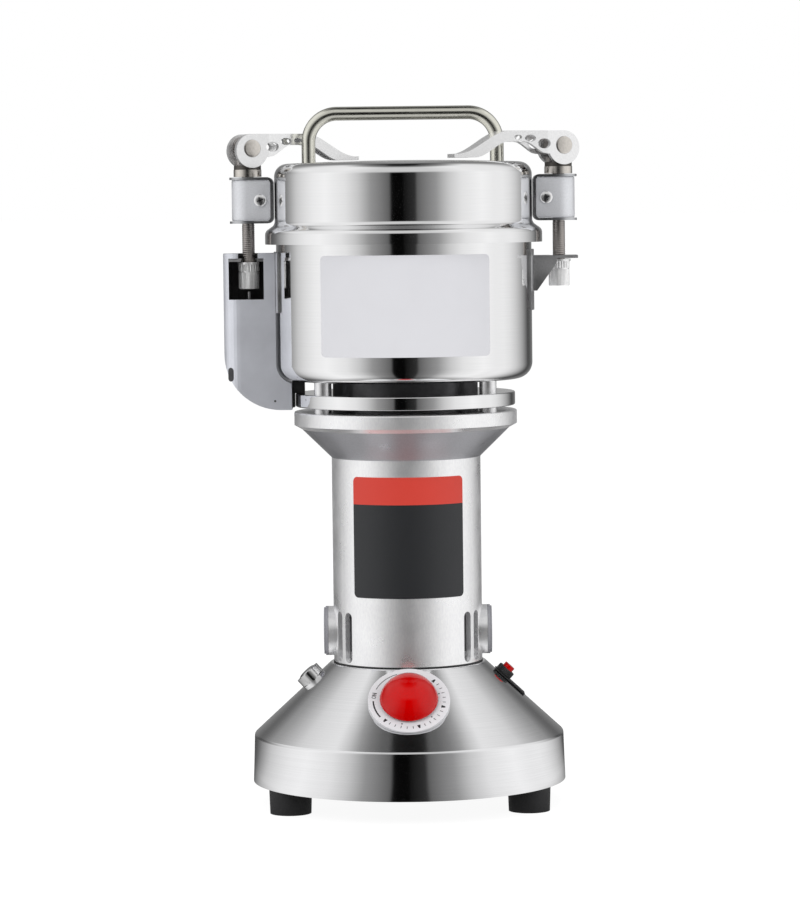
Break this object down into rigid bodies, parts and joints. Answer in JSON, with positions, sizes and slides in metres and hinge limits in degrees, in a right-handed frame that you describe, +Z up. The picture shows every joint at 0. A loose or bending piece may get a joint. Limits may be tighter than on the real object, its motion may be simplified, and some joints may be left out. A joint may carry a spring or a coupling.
{
  "type": "electric grain mill",
  "caption": "Bench mill with a clamped steel jar over a motor column on a conical base; spinning blades grind dry grain.",
  "frame": {"origin": "on the mill's axis, in the plane that the feet stand on", "axes": "+Z up along the motor's axis, +X to the right seen from the dial side, +Y away from the dial side"},
  "size_m": [0.1816, 0.1621, 0.3557],
  "materials": {
    "steel_brushed": "brushed",
    "steel_polished": "polished",
    "steel_plain": "turned",
    "strap_steel": "satin",
    "lever_chrome": "polished",
    "chrome": "polished",
    "aluminium": "brushed",
    "arm_paint": "satin",
    "rubber_black": "matt",
    "plastic_black": "satin",
    "plastic_white": "satin",
    "plastic_red": "glossy",
    "core_iron": "satin",
    "brass": "satin"
  },
  "bodies": {
    "base": {"base_cover": "steel_brushed", "bottom_plate": "steel_plain", "feet": "rubber_black", "base_screws": "steel_plain", "dial_plate": "plastic_white", "timer_case": "plastic_black", "start_switch": "chrome", "breaker_body": "plastic_black", "breaker_nut": "plastic_black", "tag_plate": "plastic_black", "cord_gland": "rubber_black", "gaskets": "rubber_black", "motor_housing": "aluminium", "brush_holders": "brass", "brush_caps": "chrome", "carbon_brushes": "core_iron", "stator_core": "core_iron", "field_coils": "brass", "lower_bracket": "aluminium", "bearings": "steel_plain", "top_flange": "steel_polished", "bearing_housing": "core_iron", "cooling_ring": "steel_polished", "standoffs": "steel_polished", "jar": "steel_polished", "shaft_bush": "brass", "left_bracket": "steel_polished", "right_bracket": "steel_polished", "arm_housing": "arm_paint", "wire_duct": "plastic_black", "interlock_switch": "plastic_black"},
    "rotor": {"rotor_shaft": "steel_plain", "armature": "core_iron", "commutator": "brass", "cooling_fan": "plastic_black", "lower_blade": "steel_plain", "upper_blade": "steel_plain", "blade_nut": "steel_plain"},
    "dial": {"timer_shaft": "steel_plain", "timer_knob": "plastic_red"},
    "start": {"start_button": "chrome"},
    "reset": {"reset_button": "plastic_red"},
    "plunger": {"interlock_plunger": "steel_plain"},
    "seal": {"lid_seal": "rubber_black"},
    "lid": {"lid_shell": "steel_polished", "lid_liner": "steel_polished", "handle": "steel_polished", "lid_nuts": "steel_plain", "clamp_straps": "strap_steel", "clamp_blocks": "aluminium", "block_screws": "steel_plain"},
    "cam_collar_left": {"collar_left": "steel_plain"},
    "clamp_bolt_left": {"bolt_left": "steel_plain"},
    "clamp_nut_left": {"nut_left": "steel_plain"},
    "cam_lever_left": {"lever_left": "lever_chrome"},
    "cam_collar_right": {"collar_right": "steel_plain"},
    "clamp_bolt_right": {"bolt_right": "steel_plain"},
    "clamp_nut_right": {"nut_right": "steel_plain"},
    "cam_lever_right": {"lever_right": "lever_chrome"}
  },
  "joints": [
    {"name": "rotor_spin", "type": "hinge", "parent": "base", "child": "rotor", "pos_m": [0, 0, 0.15], "axis": [0, 0, 1], "continuous": true},
    {"name": "timer_turn", "type": "hinge", "parent": "base", "child": "dial", "pos_m": [0, -0.0548, 0.05853], "axis": [0, -0.6784, 0.7347], "range_deg": [0, 300]},
    {"name": "start_press", "type": "slide", "parent": "base", "child": "start", "axis": [0.6784, 0, -0.7347], "range_m": [0, 0.0015], "stiffness_N_per_m": 400},
    {"name": "reset_press", "type": "slide", "parent": "base", "child": "reset", "axis": [-0.6784, 0, -0.7347], "range_m": [0, 0.0015], "stiffness_N_per_m": 400},
    {"name": "interlock_press", "type": "slide", "parent": "base", "child": "plunger", "axis": [0, 0, -1], "range_m": [0, 0.002], "stiffness_N_per_m": 200},
    {"name": "lid_lift", "type": "slide", "parent": "base", "child": "seal", "axis": [0, 0, 1], "range_m": [0, 0.12]},
    {"name": "lid_turn", "type": "hinge", "parent": "seal", "child": "lid", "pos_m": [0, 0, 0.3], "axis": [0, 0, 1], "range_deg": [0, 20]},
    {"name": "clamp_swivel_left", "type": "hinge", "parent": "lid", "child": "cam_collar_left", "pos_m": [-0.079, 0, 0.32], "axis": [0, 0, 1], "range_deg": [-4, 120]},
    {"name": "bolt_drop_left", "type": "slide", "parent": "cam_collar_left", "child": "clamp_bolt_left", "axis": [0, 0, -1], "range_m": [0, 0.001]},
    {"name": "lever_open_left", "type": "hinge", "parent": "clamp_bolt_left", "child": "cam_lever_left", "pos_m": [-0.079, 0, 0.335], "axis": [0.4067, -0.9135, 0], "range_deg": [0, 120]},
    {"name": "nut_turn_left", "type": "hinge", "parent": "clamp_bolt_left", "child": "clamp_nut_left", "pos_m": [-0.079, 0, 0.27], "axis": [0, 0, 1], "range_deg": [-180, 180]},
    {"name": "clamp_swivel_right", "type": "hinge", "parent": "lid", "child": "cam_collar_right", "pos_m": [0.079, 0, 0.32], "axis": [0, 0, 1], "range_deg": [-4, 120]},
    {"name": "bolt_drop_right", "type": "slide", "parent": "cam_collar_right", "child": "clamp_bolt_right", "axis": [0, 0, -1], "range_m": [0, 0.001]},
    {"name": "lever_open_right", "type": "hinge", "parent": "clamp_bolt_right", "child": "cam_lever_right", "pos_m": [0.079, 0, 0.335], "axis": [-0.4067, 0.9135, 0], "range_deg": [0, 120]},
    {"name": "nut_turn_right", "type": "hinge", "parent": "clamp_bolt_right", "child": "clamp_nut_right", "pos_m": [0.079, 0, 0.27], "axis": [0, 0, 1], "range_deg": [-180, 180]}
  ],
  "couplings": [
    {"joint": "lever_open_left", "follows": "bolt_drop_left", "rad_per_m": 2094.4},
    {"joint": "lever_open_right", "follows": "bolt_drop_right", "rad_per_m": 2094.4}
  ]
}
